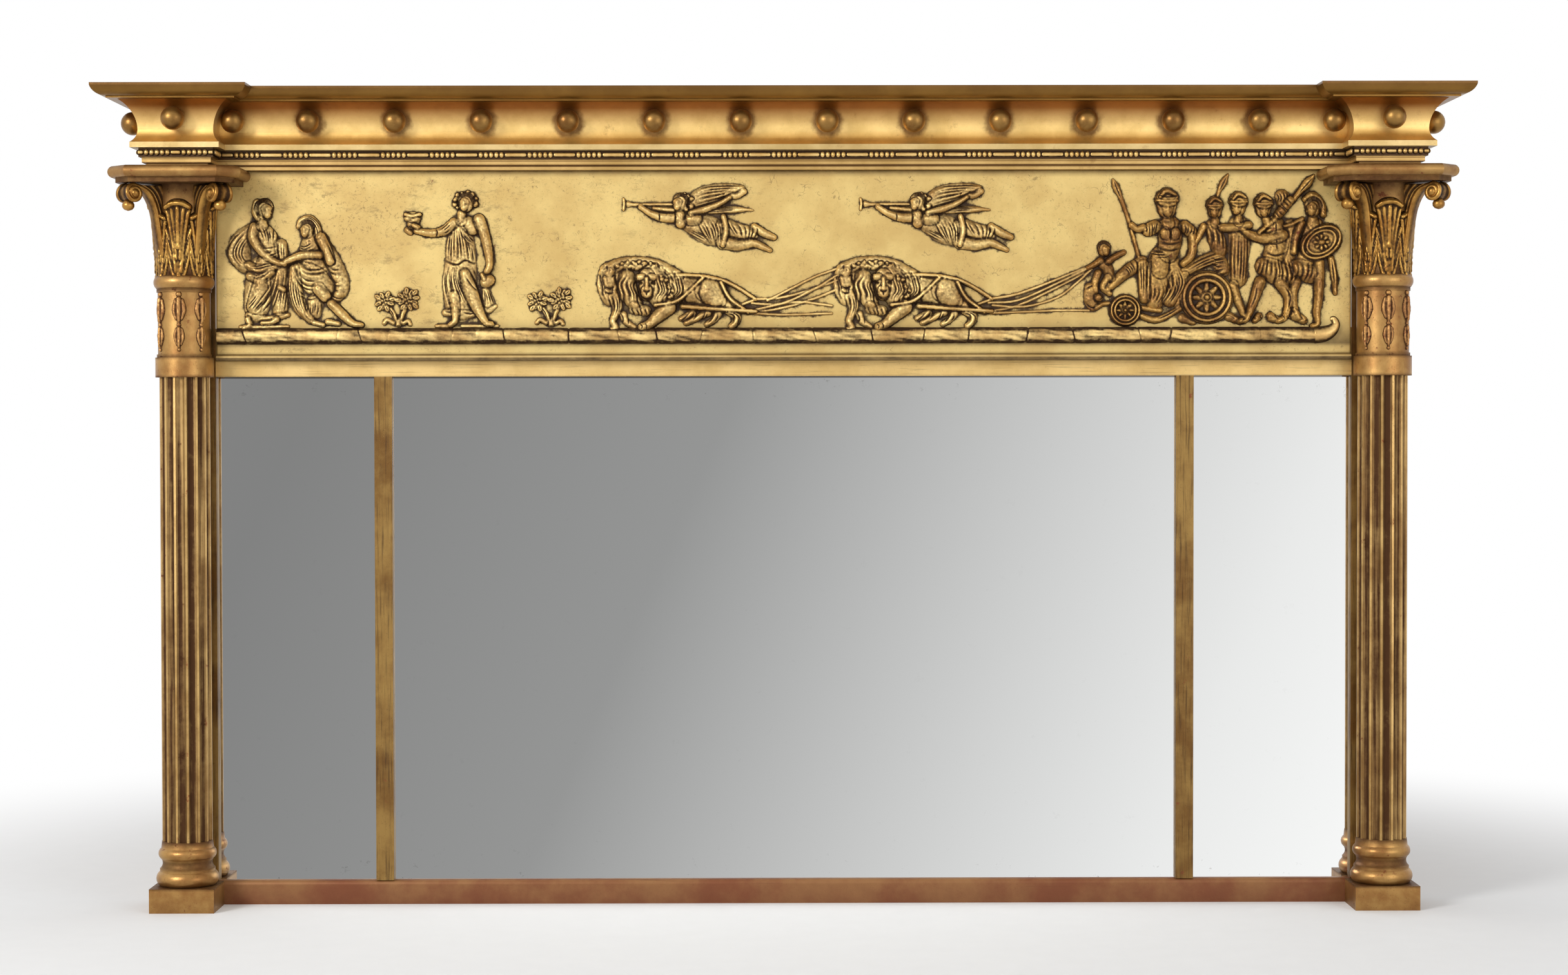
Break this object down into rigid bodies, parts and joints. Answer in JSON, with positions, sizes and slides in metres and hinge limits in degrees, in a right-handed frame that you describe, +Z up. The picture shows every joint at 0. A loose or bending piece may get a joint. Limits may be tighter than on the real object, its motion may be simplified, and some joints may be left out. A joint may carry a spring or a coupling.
{
  "type": "overmantel mirror",
  "caption": "Gilded overmantel mirror with three plates side by side under a figure frieze, fluted columns with leafy capitals at the ends and a ball-studded breakfront cornice.",
  "frame": {"origin": "middle of the back lower edge, where the wall meets the shelf", "axes": "+X along the wall to the right as seen from the room, +Y into the wall, +Z up"},
  "size_m": [1.5092, 0.1386, 0.914],
  "materials": {
    "gilt_frame": "worn gilding, matt",
    "gilt_frieze": "pale gilding, rubbed",
    "gilt_relief": "gilded composition with dark recesses",
    "gilt_cornice": "burnished gilding, aged",
    "gilt_column": "gilding worn to red bole",
    "mirror_plate": "silvered glass",
    "bare_pine": "bare aged softwood",
    "steel": "dull",
    "iron": "dark"
  },
  "bodies": {
    "root": {"backboard_nails": "iron", "ball_pins": "iron", "bottom_rail": "gilt_frame", "capital_leaves": "gilt_column", "capital_volutes": "gilt_column", "centre_backboard": "bare_pine", "centre_mirror_plate": "mirror_plate", "column_dowels": "bare_pine", "cornice_balls": "gilt_cornice", "cornice_dust_board": "bare_pine", "cornice_glue_blocks": "bare_pine", "end_bead_strips": "gilt_cornice", "frieze_bead_moulding": "gilt_frame", "frieze_board": "gilt_frieze", "frieze_ground_log": "gilt_relief", "hanger_plates": "steel", "hanger_screws": "steel", "left_abacus": "gilt_column", "left_bed_mould": "gilt_cornice", "left_capital_bell": "gilt_column", "left_column_base": "gilt_column", "left_column_necking": "gilt_column", "left_column_shaft": "gilt_column", "left_corona": "gilt_cornice", "left_cove": "gilt_cornice", "left_mirror_plate": "mirror_plate", "left_mullion": "gilt_frame", "left_plinth": "gilt_column", "left_stile": "gilt_frame", "main_bead_strip": "gilt_cornice", "main_bed_mould": "gilt_cornice", "main_corona": "gilt_cornice", "main_cove": "gilt_cornice", "middle_rail": "gilt_frame", "necking_husks": "gilt_column", "plate_wedges": "bare_pine", "relief_bushes": "gilt_relief", "relief_chariot": "gilt_relief", "relief_chariot_rider": "gilt_relief", "relief_cup_bearer": "gilt_relief", "relief_lion_pairs": "gilt_relief", "relief_robed_couple": "gilt_relief", "relief_soldiers": "gilt_relief", "relief_traces": "gilt_relief", "relief_trumpeters": "gilt_relief", "right_abacus": "gilt_column", "right_bed_mould": "gilt_cornice", "right_capital_bell": "gilt_column", "right_column_base": "gilt_column", "right_column_necking": "gilt_column", "right_column_shaft": "gilt_column", "right_corona": "gilt_cornice", "right_cove": "gilt_cornice", "right_mirror_plate": "mirror_plate", "right_mullion": "gilt_frame", "right_plinth": "gilt_column", "right_stile": "gilt_frame", "side_backboards": "bare_pine", "top_rail": "bare_pine"}
  },
  "joints": []
}
